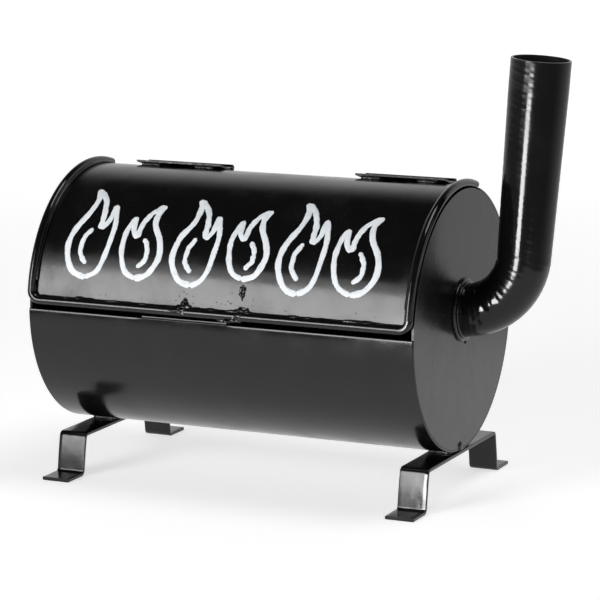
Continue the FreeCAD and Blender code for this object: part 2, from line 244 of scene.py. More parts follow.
@dataclass(frozen=True)
class Enamel:
    """Glossy black enamel sprayed over steel.

    The gloss is broken by orange peel, by slow waves of the sheet, and by duller clouds of dust.
    """

    name: str
    grain: Grain = Grain.ROLLED
    colour: tuple[float, float, float] = (0.0035, 0.0035, 0.0038)
    dust: tuple[float, float, float] = (0.016, 0.016, 0.016)
    gloss: tuple[float, float] = (0.14, 0.25)
    peel_size: float = 2.6 * MM
    peel_height: float = 0.030 * MM
    wave_size: float = 26 * MM
    wave_height: float = 0.16 * MM
    specular: float = 0.42

    def material(self) -> bpy.types.Material:
        """Make the finish's material.

        Returns:
            The material.
        """
        material, g = new_material(self.name)
        cloud = g.noise(0.035, 4.0, 0.6)
        speck = g.noise(1.4 * MM, 1.0, 0.4).clipped(0.70, 0.78)
        peel = g.noise(self.peel_size, 2.0, 0.55)
        wave = g.noise(self.wave_size, 1.0, 0.4)
        normal = g.bump(wave, self.wave_height)
        normal = g.bump(peel, self.peel_height, normal)
        if self.grain is Grain.ROLLED:
            drawn = g.noise(2.2 * MM, 2.0, 0.6, (1.0, 0.12, 0.12))
            normal = g.bump(drawn, 0.014 * MM, normal)
        if self.grain is Grain.DRAWN_DOWN:
            streak = g.noise(1.6 * MM, 3.0, 0.7, (1.0, 1.0, 0.045))
            normal = g.bump(streak, 0.06 * MM, normal)
            cloud = cloud * 0.5 + streak * 0.5
        if self.grain is Grain.WELDED:
            scale = g.noise(0.9 * MM, 3.0, 0.6)
            normal = g.bump(scale, 0.10 * MM, normal)
        low, high = self.gloss
        dullness = cloud.clipped(0.35, 0.70) * (high - low) + low + speck * 0.10
        share = cloud.clipped(0.50, 0.85) * 0.20 + speck * 0.30
        g.surface({
            "Base Color": g.blend(share, rgba(self.colour), rgba(self.dust)),
            "Roughness": dullness, "Specular IOR Level": self.specular, "Normal": normal,
        })
        return material


@dataclass(frozen=True)
class SootedSteel:
    """The inside of a fire drum: enamel burnt dull, with soot that thickens upwards and brown heat stains."""

    name: str
    floor_z: float
    top_z: float
    burnt: tuple[float, float, float] = (0.030, 0.027, 0.024)
    soot: tuple[float, float, float] = (0.006, 0.006, 0.006)
    stain: tuple[float, float, float] = (0.060, 0.036, 0.022)

    def material(self) -> bpy.types.Material:
        """Make the finish's material.

        Returns:
            The material.
        """
        material, g = new_material(self.name)
        spot = g.signal("ShaderNodeTexCoord", "Object")
        height = g.signal("ShaderNodeSeparateXYZ", "Z", None, {0: spot})
        patches = g.noise(0.022, 5.0, 0.65)
        fine = g.noise(1.1 * MM, 3.0, 0.6)
        rise = height.clipped(self.floor_z, self.top_z)
        sooted = (patches * 0.7 + rise * 0.6).clipped(0.35, 0.75)
        stained = g.noise(0.013, 4.0, 0.7).clipped(0.58, 0.70)
        warm = g.blend(stained * 0.75, rgba(self.burnt), rgba(self.stain))
        g.surface({
            "Base Color": g.blend(sooted, warm, rgba(self.soot)),
            "Roughness": fine * 0.25 + sooted * 0.15 + 0.48, "Specular IOR Level": 0.35,
            "Normal": g.bump(fine, 0.10 * MM, g.bump(patches, 0.30 * MM)),
        })
        return material


@dataclass(frozen=True)
class GrateSteel:
    """Bare rod dulled by a first fire: grey drawn steel, straw and brown heat tint, soot in patches."""

    name: str
    steel: tuple[float, float, float] = (0.36, 0.35, 0.34)
    straw: tuple[float, float, float] = (0.30, 0.22, 0.13)
    soot: tuple[float, float, float] = (0.020, 0.018, 0.017)

    def material(self) -> bpy.types.Material:
        """Make the finish's material.

        Returns:
            The material.
        """
        material, g = new_material(self.name)
        tint = g.noise(0.030, 3.0, 0.6).clipped(0.42, 0.66)
        soot = g.noise(0.014, 5.0, 0.7).clipped(0.50, 0.66)
        drawn = g.noise(0.5 * MM, 2.0, 0.6, (1.0, 0.05, 1.0))
        metal = g.blend(tint * 0.6, rgba(self.steel), rgba(self.straw))
        g.surface({
            "Base Color": g.blend(soot * 0.85, metal, rgba(self.soot)),
            "Metallic": 1.0 - soot * 0.7, "Roughness": drawn * 0.18 + soot * 0.30 + 0.27,
            "Normal": g.bump(drawn, 0.05 * MM),
        })
        return material


@dataclass(frozen=True)
class BrushPaint:
    """White paint laid on by brush: bristle ridges along the stroke, with thin bluish places."""

    name: str
    thick: tuple[float, float, float] = (0.84, 0.87, 0.90)
    thin: tuple[float, float, float] = (0.56, 0.62, 0.67)

    def material(self) -> bpy.types.Material:
        """Make the finish's material, which follows each stroke's own UV map.

        Returns:
            The material.
        """
        material, g = new_material(self.name)
        along = g.signal("ShaderNodeUVMap", 0, {"uv_map": "stroke"})
        pulled = g.signal("ShaderNodeMapping", 0, None, {"Vector": along, "Scale": (55.0, 9.0, 1.0)})
        bristle = g.signal("ShaderNodeTexNoise", "Fac", {"noise_dimensions": "2D"},
                           {"Vector": pulled, "Scale": 1.0, "Detail": 3.0, "Roughness": 0.6})
        patch = g.noise(7 * MM, 3.0, 0.6)
        thinness = (bristle * 0.55 + patch * 0.55).clipped(0.50, 0.78)
        g.surface({
            "Base Color": g.blend(thinness * 0.75, rgba(self.thick), rgba(self.thin)),
            "Roughness": bristle * 0.2 + 0.32, "Normal": g.bump(bristle, 0.14 * MM),
        })
        return material


# Surfaces -------------------------------------------------------------------------------------------

def unevenness(t: Grid, seed: int, terms: int = 6, start: int = 1) -> Grid:
    """Smooth random value of about -1 to 1 that repeats when t grows by 1.

    Formula: the sum of cosines of 2 pi k t plus a random phase, for k from start on, each divided by the
    square root of the number of terms.

    Args:
        t: Where to work it out.
        seed: Fixes the phases.
        terms: How many cosines are added up.
        start: The slowest cosine's count per unit of t.

    Returns:
        An array of t's shape.
    """
    phases = np.random.default_rng(seed).uniform(0, 2 * np.pi, terms)
    counts = start + np.arange(terms)
    return np.cos(2 * np.pi * t[..., None] * counts + phases).sum(-1) / math.sqrt(terms)


def quads(rows: int, columns: int, wrap_rows: bool, wrap_columns: bool) -> Grid:
    """Faces of a grid of rows times columns points, numbered row by row.

    Formula: face (i, j) joins points (i, j), (i + 1, j), (i + 1, j + 1) and (i, j + 1), and an index that
    wraps is taken by its remainder.

    Args:
        rows: Points along the grid.
        columns: Points across it.
        wrap_rows: The last row joins the first.
        wrap_columns: The last column joins the first.

    Returns:
        Four point numbers per face.
    """
    i = np.arange(rows if wrap_rows else rows - 1)[:, None]
    j = np.arange(columns if wrap_columns else columns - 1)[None, :]
    i2, j2 = (i + 1) % rows, (j + 1) % columns
    corners = [i * columns + j, i2 * columns + j, i2 * columns + j2, i * columns + j2]
    return np.stack([np.broadcast_to(c, (i.shape[0], j.shape[1])) for c in corners], -1).reshape(-1, 4)


@dataclass
class Surface:
    """Points and faces of one closed surface, before it becomes a mesh.

    Attributes:
        points: Points, three numbers each.
        faces: Faces with four corners, or three where the last repeats the third.
        kinds: The material number of each face.
        chart: Two map numbers per point, where a finish follows the surface.
    """

    points: Grid
    faces: Grid
    kinds: Grid
    chart: Grid | None = None

    @staticmethod
    def tube(rings: Grid, closed: bool = False, kind: int = 0) -> "Surface":
        """Surface through rings of points, its ends closed by a middle point each, or joined in a loop.

        Args:
            rings: Points of each ring, rings first.
            closed: The last ring joins the first.
            kind: Material number of its faces.

        Returns:
            The closed surface.
        """
        rows, columns = rings.shape[:2]
        points = rings.reshape(-1, 3)
        faces = quads(rows, columns, closed, True)
        if not closed:
            j = np.arange(columns)
            k = (j + 1) % columns
            last = (rows - 1) * columns
            first_pole, last_pole = np.full(columns, len(points)), np.full(columns, len(points) + 1)
            points = np.vstack([points, rings[0].mean(0), rings[-1].mean(0)])
            start = np.stack([j, k, first_pole, first_pole], -1)
            end = np.stack([last + k, last + j, last_pole, last_pole], -1)
            faces = np.vstack([faces, start, end])
        return Surface(points, faces, np.full(len(faces), kind))

    @staticmethod
    def slab(front: Grid, back: Grid, kinds: tuple[int, int] = (0, 0)) -> "Surface":
        """Sheet between two grids of the same shape, with side walls round its edge.

        Args:
            front: Points of the outer face.
            back: Points of the inner face.
            kinds: Material numbers of the outer face with the walls, and of the inner face.

        Returns:
            The closed surface.
        """
        rows, columns = front.shape[:2]
        number = np.arange(rows * columns).reshape(rows, columns)
        edge = np.concatenate([number[:-1, 0], number[-1, :-1], number[:0:-1, -1], number[0, :0:-1]])
        after = np.roll(edge, -1)
        shift = rows * columns
        outer = quads(rows, columns, False, False)
        walls = np.stack([edge, edge + shift, after + shift, after], -1)
        faces = np.vstack([outer, outer[:, ::-1] + shift, walls])
        counts = (len(outer), len(outer), len(walls))
        which = np.repeat([kinds[0], kinds[1], kinds[0]], counts)
        return Surface(np.vstack([front.reshape(-1, 3), back.reshape(-1, 3)]), faces, which)

    @staticmethod
    def blob(centre: Grid, axes: Grid, uneven: float, seed: int, taper: float = 0.0,
             rows: int = 20, columns: int = 28) -> "Surface":
        """Lump: a ball stretched along three axes, narrowed towards one pole and made uneven.

        Formula: a point is the centre plus the first two axes times the sine of the polar angle and the
        sine or cosine of the turn, plus the third axis times the cosine of the polar angle. The first two
        are multiplied by 1 minus taper times that cosine, and all by 1 plus the unevenness.

        Args:
            centre: Its middle.
            axes: Three half axes, one a row; the poles are on the third.
            uneven: Share of the radius that the unevenness moves.
            seed: Fixes the unevenness.
            taper: How much the side of the last axis narrows.
            rows: Rings between the poles.
            columns: Points in a ring.

        Returns:
            The closed surface.
        """
        polar = np.linspace(0, np.pi, rows + 2)[1:-1, None]
        turn = np.linspace(0, 2 * np.pi, columns, endpoint=False)[None, :]
        rough = 1 + uneven * unevenness(turn / (2 * np.pi) + 0 * polar, seed, 4) * np.sin(polar) ** 2
        rough = rough + uneven * 0.7 * unevenness(polar / np.pi + 0 * turn, seed + 1, 3)
        narrow = (1 - taper * np.cos(polar)) * np.sin(polar) * rough
        parts = [narrow * np.cos(turn), narrow * np.sin(turn), np.cos(polar) * rough]
        rings = centre + sum(part[..., None] * axis for part, axis in zip(parts, axes))
        return Surface.tube(rings)

    @staticmethod
    def joined(parts: Iterable["Surface"]) -> "Surface":
        """Several closed surfaces as one piece, each keeping its own faces.

        Args:
            parts: The surfaces, all with a chart or all without.

        Returns:
            The one surface.
        """
        parts = list(parts)
        starts = np.cumsum([0] + [len(p.points) for p in parts[:-1]])
        faces = np.vstack([p.faces + s for p, s in zip(parts, starts)])
        chart = None if parts[0].chart is None else np.vstack([p.chart for p in parts])
        points = np.vstack([p.points for p in parts])
        return Surface(points, faces, np.concatenate([p.kinds for p in parts]), chart)


@dataclass
class Workshop:
    """Turns surfaces into pieces of the scene.

    Attributes:
        frame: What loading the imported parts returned.
    """

    frame: dict[str, Any]

    def piece(self, name: str, surface: Surface, materials: Sequence[bpy.types.Material], body: str,
              replaces: Sequence[str] = (), slot: str = "black_paint", sharp: float = 40.0,
              bevel: float = 0.0) -> bpy.types.Object:
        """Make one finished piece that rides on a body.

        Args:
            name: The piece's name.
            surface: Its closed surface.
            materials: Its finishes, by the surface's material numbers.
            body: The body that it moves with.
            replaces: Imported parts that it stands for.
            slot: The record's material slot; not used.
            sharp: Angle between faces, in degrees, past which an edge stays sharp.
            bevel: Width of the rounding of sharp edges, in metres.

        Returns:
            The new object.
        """
        mesh = bpy.data.meshes.new(name)
        faces = [tuple(dict.fromkeys(f)) for f in surface.faces.tolist()]
        mesh.from_pydata(surface.points.tolist(), [], faces)
        mesh.polygons.foreach_set("material_index", surface.kinds.astype(np.int32))
        for material in materials:
            mesh.materials.append(material)
        if surface.chart is not None:
            layer = mesh.uv_layers.new(name="stroke")
            corner = np.zeros(len(mesh.loops), np.int32)
            mesh.loops.foreach_get("vertex_index", corner)
            layer.data.foreach_set("uv", surface.chart[corner].astype(np.float32).ravel())
        mesh.validate()
        if signed_volume(mesh) < 0:
            mesh.flip_normals()
        mesh.polygons.foreach_set("use_smooth", np.ones(len(mesh.polygons), bool))
        mesh.set_sharp_from_angle(angle=math.radians(sharp))
        thing = bpy.data.objects.new(name, mesh)
        bpy.context.scene.collection.objects.link(thing)
        if bevel > 0:
            rounding = thing.modifiers.new("rounded_edges", "BEVEL")
            rounding.width = bevel
            rounding.segments = 3
            rounding.limit_method = "ANGLE"
            rounding.angle_limit = math.radians(sharp)
        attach(thing, body)
        if replaces:
            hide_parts(*replaces)
        LOG.info("%s: %d faces on %s", name, len(mesh.polygons), body)
        return thing

    def dress(self, material: bpy.types.Material, *nodes: str) -> None:
        """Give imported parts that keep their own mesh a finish.

        Args:
            material: The finish.
            nodes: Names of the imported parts.
        """
        for name in nodes:
            mesh = self.frame["nodes"][name].data
            mesh.materials.clear()
            mesh.materials.append(material)
            LOG.info("%s: dressed in %s", name, material.name)


def signed_volume(mesh: bpy.types.Mesh) -> float:
    """Volume inside a closed mesh, negative where its faces point inwards.

    Formula: the sum over triangles of a corner times the cross product of the other two, divided by 6.

    Args:
        mesh: The mesh.

    Returns:
        Cubic metres.
    """
    mesh.calc_loop_triangles()
    count = len(mesh.loop_triangles)
    corner = np.zeros(count * 3, np.int32)
    mesh.loop_triangles.foreach_get("vertices", corner)
    place = np.zeros(len(mesh.vertices) * 3, np.float32)
    mesh.vertices.foreach_get("co", place)
    a, b, c = place.reshape(-1, 3)[corner.reshape(-1, 3)].transpose(1, 0, 2).astype(float)
    return float((a * np.cross(b, c)).sum() / 6)


def arranged(*parts: Any) -> Grid:
    """Three arrays of any matching shapes as one array of points."""
    return np.stack(np.broadcast_arrays(*parts), -1).astype(float)


# The drum's own space ------------------------------------------------------------------------------

@dataclass(frozen=True)
class DrumSpace:
    """Where the drum's axis and ends are, and points around it."""

    middle_x: float
    y: float
    z: float
    radius: float
    half_length: float
    sheet: float = 2.0 * MM

    @staticmethod
    def measured() -> "DrumSpace":
        """Read the drum from the box of its packed shell.

        Returns:
            The drum's space.
        """
        low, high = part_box("drum_shell")
        radius = round((high.y - low.y) / 2 / MM, 1) * MM
        middle = (low.x + high.x) / 2
        return DrumSpace(middle, (low.y + high.y) / 2, low.z + radius, radius, (high.x - low.x) / 2)

    @property
    def bore(self) -> float:
        """Radius of the drum's inside face."""
        return self.radius - self.sheet

    @property
    def right(self) -> float:
        """Where the right end disc's outer face is."""
        return self.middle_x + self.half_length

    def spot(self, x: Any, angle: Any, radius: Any) -> Grid:
        """Points round the axis.

        Formula: y is the axis minus radius times the cosine of the angle, z the axis plus its sine.

        Args:
            x: Distance from the drum's middle, to the flue.
            angle: Degrees from the front, upwards.
            radius: Distance from the axis.

        Returns:
            Points in the frame's own coordinates.
        """
        turn = np.radians(angle)
        return arranged(self.middle_x + x, self.y - radius * np.cos(turn), self.z + radius * np.sin(turn))

    def local(self, x: Any, y: Any, z: Any) -> Grid:
        """Points given from the drum's middle."""
        return arranged(self.middle_x + x, self.y + y, self.z + z)

    def sheet_dents(self, x: Any, angle: Any, seed: int, depth: float) -> Grid:
        """How far a hand-rolled sheet falls inside its true radius.

        Formula: half the depth times 1 plus the product of two slow unevennesses, along and around.
        """
        along = unevenness((x + self.half_length) / (2.2 * self.half_length) + 0 * angle, seed, 4)
        around = unevenness(angle / 360 + 0 * x, seed + 7, 5, 3)
        return depth * 0.5 * (1 + np.clip(along * around, -1, 1))

    def rolled_sheet(self, x: tuple[float, float], angle: tuple[float, float], seed: int,
                     depth: float = 0.10 * MM, kinds: tuple[int, int] = (0, 1), eased: float = 0.0,
                     kept: tuple[float, float] | None = None) -> Surface:
        """Curved sheet between two places along the drum and two angles.

        Formula: the outer face is at the radius less the dents, and less EASED_FALL times the eased length
        times the square of the share of that length gone; the inner face is at the bore.

        Args:
            x: Where it starts and ends, from the drum's middle.
            angle: Angles that it starts and ends at, in degrees.
            seed: Fixes its dents.
            depth: Deepest dent.
            kinds: Material numbers outside and inside.
            eased: Length before the last edge over which a worn edge falls away.
            kept: Stretch along the drum where it doesn't.

        Returns:
            The closed sheet.
        """
        columns = max(2, int(abs(x[1] - x[0]) / (3.5 * MM)))
        rows = max(3, int(abs(angle[1] - angle[0]) / 1.2))
        a = np.linspace(*angle, rows)
        arc = math.degrees(eased / self.radius)
        if eased:
            before = a[a < angle[1] - 1.3 * arc]
            a = np.concatenate([before, angle[1] - arc * np.array(EASED_ROWS)])
        a = a[:, None]
        s = np.linspace(*x, columns)[None, :]
        gone = np.clip(1 - (angle[1] - a) / arc, 0, 1) if eased else 0 * a
        if kept:
            gone = gone * np.clip((np.abs(s - sum(kept) / 2) - (kept[1] - kept[0]) / 2) / (3 * MM), 0, 1)
        fallen = self.sheet_dents(s, a, seed, depth) + EASED_FALL * eased * gone ** 2
        outer = self.spot(s, a, self.radius - fallen)
        return Surface.slab(outer, self.spot(s, a, self.bore), kinds)


def bead(path: Grid, radius: float, seed: int, ripple: float = 0.12, lumps: float = 0.18,
         pitch: float = 1.7 * MM, flat: float = 1.0, columns: int = 14) -> Surface:
    """Run of weld along a path: a thin tube with ripples across it and slow lumps.

    Formula: a ring round each path point has the radius times 1 plus ripple times a rectified sine of the
    length over the pitch, plus lumps times an unevenness, and its ends shrink as half circles.

    Args:
        path: Points of its middle line.
        radius: Its mean radius.
        seed: Fixes its lumps.
        ripple: Height of the ripples as a share of the radius.
        lumps: Height of the lumps as a share of the radius.
        pitch: Length of one ripple.
        flat: Height over width of its section.
        columns: Points in a ring.

    Returns:
        The closed bead.
    """
    step = np.diff(path, axis=0)
    length = np.concatenate([[0], np.cumsum(np.linalg.norm(step, axis=1))])
    along = np.gradient(path, axis=0)
    along /= np.linalg.norm(along, axis=1)[:, None]
    side = np.cross(along, np.where(np.abs(along[:, :1]) > 0.9, [[0.0, 1.0, 0.0]], [[1.0, 0.0, 0.0]]))
    side /= np.linalg.norm(side, axis=1)[:, None]
    up = np.cross(along, side)
    turn = np.linspace(0, 2 * np.pi, columns, endpoint=False)[None, :]
    share = length / length[-1]
    r = 1 + ripple * np.abs(np.sin(np.pi * length / pitch)) + lumps * unevenness(share, seed, 9, 2)
    reach = np.minimum(length, length[-1] - length) / radius
    r = radius * r * np.sqrt(np.clip(1 - (1 - np.clip(reach, 0, 1)) ** 2, 0.02, 1))
    lean = 1 + lumps * 0.5 * unevenness(share[:, None] * 3 + turn / (2 * np.pi), seed + 3, 3)
    ring = np.cos(turn)[..., None] * side[:, None] + flat * np.sin(turn)[..., None] * up[:, None]
    return Surface.tube(path[:, None] + ring * (r[:, None] * lean)[..., None])


def smooth_line(points: Sequence[tuple[float, float]], steps: int = 24) -> Grid:
    """Smooth line through points of a plane.

    Formula: between two points it is the cubic whose slopes at them are half the difference of their
    neighbours; an end point is its own neighbour.

    Args:
        points: Points that it goes through.
        steps: Points worked out between each pair.

    Returns:
        Points of the line, two numbers each.
    """
    p = np.array([points[0], *points, points[-1]], float)[:, None]
    t = np.linspace(0, 1, steps, endpoint=False)[None, :, None]
    a, b, c, d = p[:-3], p[1:-2], p[2:-1], p[3:]
    curve = b + 0.5 * t * (c - a + t * (2 * a - 5 * b + 4 * c - d + t * (3 * (b - c) + d - a)))
    return np.vstack([curve.reshape(-1, 2), points[-1]])


def steps_along(length: float, pitch: float = 0.7 * MM) -> int:
    """How many points a run of some length gets."""
    return max(6, int(length / pitch))


# Sub-assemblies -------------------------------------------------------------------------------------

@dataclass
class Drum:
    """The trough, its ends, the stop strip and the rails inside."""

    space: DrumSpace
    shop: Workshop
    enamel: bpy.types.Material
    disc_enamel: bpy.types.Material
    sooted: bpy.types.Material
    rear_angle: float = 108.18
    rim_angle: float = 360.733
    stop_x: tuple[float, float] = (-67 * MM, 10 * MM)
    stop_angles: tuple[float, float] = (0.733, 1.675)

    def build(self) -> None:
        """Make the trough's sheet and the strip that the lid rests on."""
        half = self.space.half_length
        trough = self.space.rolled_sheet((-half, half), (self.rear_angle, self.rim_angle), 11,
                                        eased=2.6 * MM, kept=self.stop_x)
        finishes = [self.enamel, self.sooted]
        self.shop.piece("trough_sheet", trough, finishes, "drum", ["drum_shell"], bevel=0.8 * MM)
        strip = self.space.rolled_sheet(self.stop_x, self.stop_angles, 12, 0.0, eased=1.3 * MM)
        finishes = [self.enamel, self.enamel]
        self.shop.piece("stop_strip", strip, finishes, "drum", ["front_stop_strip"], bevel=0.45 * MM)

    def dress(self) -> None:
        """Finish the parts that keep their own mesh."""
        self.shop.dress(self.disc_enamel, "left_end_disc", "right_end_disc")
        rails = [f"{side}_{grate}_rail" for side in ("front", "rear") for grate in ("cooking", "charcoal")]
        self.shop.dress(self.sooted, "left_seam_weld", "right_seam_weld", *rails)


@dataclass
class Lid:
    """The lid's sheet, its round rod, the welds between them, and the painted flames."""

    space: DrumSpace
    shop: Workshop
    enamel: bpy.types.Material
    rod_enamel: bpy.types.Material
    weld_enamel: bpy.types.Material
    sooted: bpy.types.Material
    paint: bpy.types.Material
    edge_angle: float = 6.75
    rear_angle: float = 106.82
    panel_half: float = 166.1 * MM
    front_weld_half: float = 161 * MM
    front_weld_z: float = 11.8 * MM
    lump_x: tuple[float, float] = (-28 * MM, 24 * MM)
    flame_angles: tuple[float, float] = (16.0, 61.0)
    stroke: float = 5.2 * MM
    skin: float = 0.30 * MM

    def build(self) -> None:
        """Make the sheet, its welds, their spatter and the flames."""
        sheet = self.space.rolled_sheet(
            (-self.panel_half, self.panel_half), (self.edge_angle, self.rear_angle), 21, 0.14 * MM)
        finishes = [self.enamel, self.sooted]
        self.shop.piece("lid_sheet", sheet, finishes, "lid", ["lid_panel"], bevel=0.6 * MM)
        welds = Surface.joined([self.front_weld(), *self.side_welds()])
        self.shop.piece("lid_edge_weld", welds, [self.weld_enamel], "lid", ["lid_frame_weld"], sharp=70)
        lumps = Surface.joined(self.weld_lumps())
        node = ["lid_front_weld_lumps"]
        self.shop.piece("lid_weld_lumps", lumps, [self.weld_enamel], "lid", node, sharp=80)
        spatter = Surface.joined(self.spatter())
        self.shop.piece("lid_weld_spatter", spatter, [self.weld_enamel], "lid", sharp=80)
        self.shop.piece("painted_flames", Surface.joined(self.flame_row()), [self.paint], "lid", sharp=75)

    def dress(self) -> None:
        """Finish the rod, which keeps its own mesh."""
        self.shop.dress(self.rod_enamel, "lid_frame_rod")

    def front_weld(self) -> Surface:
        """The jagged run along the front rod, on the sheet's lower edge.

        Formula: its height wanders by an unevenness, and it lies on the drum's circle at that height.

        Returns:
            The bead.
        """
        x = np.linspace(-self.front_weld_half, self.front_weld_half, steps_along(2 * self.front_weld_half))
        share = (x / self.front_weld_half + 1) / 2
        z = self.front_weld_z + 0.35 * MM * unevenness(share, 31, 24, 9)
        y = -np.sqrt(self.space.radius ** 2 - z ** 2) - 0.35 * MM
        return bead(self.space.local(x, y, z), 1.6 * MM, 32, 0.22, 0.24, 2.6 * MM)

    def side_welds(self) -> list[Surface]:
        """The two smoother runs between the sheet's ends and the rod.

        Formula: each is an arc round the drum's axis, from above the front corner to the rear cut.

        Returns:
            Both beads.
        """
        runs = []
        for seed, side in ((33, -1), (34, 1)):
            angle = np.linspace(13.0, self.rear_angle - 0.6, steps_along(self.space.radius * 1.64))
            path = self.space.spot(side * (self.panel_half - 0.2 * MM), angle, self.space.radius + 0.9 * MM)
            runs.append(bead(path, 1.55 * MM, seed, 0.06, 0.07, 2.2 * MM))
        return runs

    def lump(self, x: float, angle: float, half: Sequence[float], seed: int, taper: float = 0.0,
             rows: int = 20, columns: int = 28) -> Surface:
        """One lump on the sheet, its half sizes given along x, outwards and up the curve.

        Args:
            x: Where it is along the drum.
            angle: Where it is round the drum, in degrees.
            half: Its half sizes.
            seed: Fixes its unevenness.
            taper: How much it narrows upwards.
            rows: Rings between its poles.
            columns: Points in a ring.

        Returns:
            The lump.
        """
        centre = self.space.spot(x, angle, self.space.radius - 0.2 * MM)
        turn = math.radians(angle)
        out = np.array([0, -math.cos(turn), math.sin(turn)])
        up = np.array([0, math.sin(turn), math.cos(turn)])
        axes = np.array([[half[0], 0, 0], out * half[1], up * half[2]])
        return Surface.blob(centre, axes, 0.13, seed, taper, rows, columns)

    def weld_lumps(self) -> list[Surface]:
        """The lumps on the lid's front and over its rod, down to the toe, and a ring with its run of paint.

        Returns:
            Lumps, then the ring, then the run.
        """
        left, right = self.lump_x
        # Place along, angle, half sizes in millimetres, taper
        on_sheet = [
            (left, 7.4, (4.4, 3.6, 4.6), 0.2), (left + 0.2 * MM, 9.2, (2.4, 2.5, 3.4), 0.5),
            (left + 3.2 * MM, 6.9, (2.8, 2.8, 2.6), 0.0), (left - 4.6 * MM, 6.7, (3.2, 2.2, 2.2), 0.0),
            (right, 6.7, (4.7, 3.6, 4.3), 0.1), (right - 1.6 * MM, 7.4, (2.6, 2.9, 3.0), 0.3),
            (right + 4.6 * MM, 7.5, (1.7, 2.2, 2.3), 0.3), (right - 4.8 * MM, 6.8, (2.8, 2.4, 2.2), 0.0),
            (right - 8.2 * MM, 6.5, (2.4, 1.8, 1.7), 0.0),
        ]
        lumps = [
            self.lump(x, angle, [h * MM for h in half], 40 + i, taper)
            for i, (x, angle, half, taper) in enumerate(on_sheet)
        ]
        # Place from the drum's middle and half sizes, both in millimetres
        over_rod = (
            (-36.0, -112.2, 10.8, (9.0, 3.1, 2.1)), (-28.0, -112.3, 9.3, (4.6, 3.3, 3.9)),
            (23.5, -112.5, 9.3, (4.6, 3.3, 4.2)), (18.0, -112.5, 7.6, (5.0, 3.1, 3.2)),
            (13.0, -112.2, 5.7, (3.6, 2.9, 2.4)), (6.8, -109.9, 5.5, (4.2, 2.1, 1.95)),
        )
        for i, (x, y, z, half) in enumerate(over_rod):
            centre = self.space.local(x * MM, y * MM, z * MM)
            lumps.append(Surface.blob(centre, np.diag(half) * MM, 0.17, 246 + i))
        turn = np.linspace(0, 2 * np.pi, 60)
        ring_x = right - 1.0 * MM + 1.5 * MM * np.cos(turn)
        ring = self.space.spot(ring_x, 15.4 + 2.1 * np.sin(turn), self.space.radius + 0.2 * MM)
        lumps.append(bead(ring, 1.15 * MM, 50, 0.2, 0.25))
        drip_x = right - np.linspace(0.9, 0.6, 40) * MM
        drip = self.space.spot(drip_x, np.linspace(13.4, 11.4, 40), self.space.radius)
        lumps.append(bead(drip, 0.6 * MM, 51, 0.1, 0.35))
        return lumps

    def spatter(self) -> list[Surface]:
        """Small drops of weld round both lumps and along the front run.

        Formula: the first drops are scattered about the lumps as a bell, the rest evenly along the edge.

        Returns:
            One small lump a drop.
        """
        dice = np.random.default_rng(61)
        drops = []
        for i in range(54):
            near = self.lump_x[i % 2] if i < 30 else dice.uniform(-155, 155) * MM
            x = near + (dice.normal(0, 9 * MM) if i < 30 else 0.0)
            angle = 8.6 + abs(dice.normal(0, 3.2 if i < 30 else 1.0))
            size = dice.uniform(0.25, 0.62) * MM
            drops.append(self.lump(x, angle, (size, size * 0.8, size), 70 + i, 0.0, 4, 7))
        return drops

    def flame_row(self) -> list[Surface]:
        """Six flames of different sizes, every other one mirrored.

        Formula: a stroke's points are the flame's shares times its width and height, plus its foot.

        Returns:
            Every stroke.
        """
        low, high = self.flame_angles
        reach = math.radians(high - low) * self.space.radius
        row = ((-124, 0.00, 1.00, 43), (-74, 0.03, 0.80, 40), (-27, 0.00, 0.94, 42),
               (22, 0.10, 0.76, 38), (68, 0.00, 1.00, 42), (118, 0.03, 0.84, 44))
        strokes = []
        for i, (base, lift, tall, wide) in enumerate(row):
            size = np.array([wide * MM * (-1) ** i, tall * reach])
            foot = np.array([base * MM, lift * reach])
            for k, points in enumerate(FLAME):
                x, climb = (foot + size * smooth_line(points)).T
                skin = self.skin * (1.0 + 0.1 * k)
                strokes.append(self.brush(x, climb, 100 + 10 * i + k, skin, 1.0 - 0.06 * k))
        return strokes

    def brush(self, x: Grid, climb: Grid, seed: int, skin: float, width: float = 1.0) -> Surface:
        """One brush stroke on the lid's curve.

        Formula: across the stroke, from -1 to 1, a point is off its line by half the width times a round
        end's square root, and stands proud by the skin times 1 minus the fourth power of the distance
        across. The width swells and shrinks by an unevenness.

        Args:
            x: Its line along the drum.
            climb: Its line up the curve, from the row's foot.
            seed: Fixes its unevenness.
            skin: Thickness of the paint.
            width: Share of the usual stroke width.

        Returns:
            The closed stroke.
        """
        line = np.stack([x, climb], -1)
        step = np.linalg.norm(np.diff(line, axis=0), axis=1)
        length = np.concatenate([[0], np.cumsum(step)])
        fine = np.linspace(0, length[-1], steps_along(length[-1], 0.8 * MM))
        line = np.stack([np.interp(fine, length, line[:, k]) for k in (0, 1)], -1)
        share = fine / fine[-1]
        line = line + 0.25 * MM * np.stack([unevenness(share, seed + k, 4, 1) for k in (20, 21)], -1)
        along = np.gradient(line, axis=0)
        along /= np.linalg.norm(along, axis=1)[:, None]
        side = np.stack([-along[:, 1], along[:, 0]], -1)
        half = 0.5 * width * self.stroke * (1 + 0.09 * unevenness(share, seed + 22, 7, 2))
        reach = np.minimum(fine, fine[-1] - fine) / half
        half = half * np.sqrt(np.clip(1 - (1 - np.clip(reach, 0, 1)) ** 2, 0.03, 1))
        across = np.linspace(-1, 1, 11)
        ragged = 1 + 0.05 * unevenness(share[:, None] + 0 * across, seed + 23, 30, 12)
        flat = line[:, None] + side[:, None] * (half[:, None] * ragged * across)[..., None]
        angle = self.flame_angles[0] + np.degrees(flat[..., 1] / self.space.radius)
        ridges = unevenness(across / 2 + 0 * share[:, None], seed + 24, 9, 3)
        proud = skin * (1 - across ** 4) * (1 + 0.15 * ridges)
        top = self.space.spot(flat[..., 0], angle, self.space.radius + np.maximum(proud, 0) - 0.02 * MM)
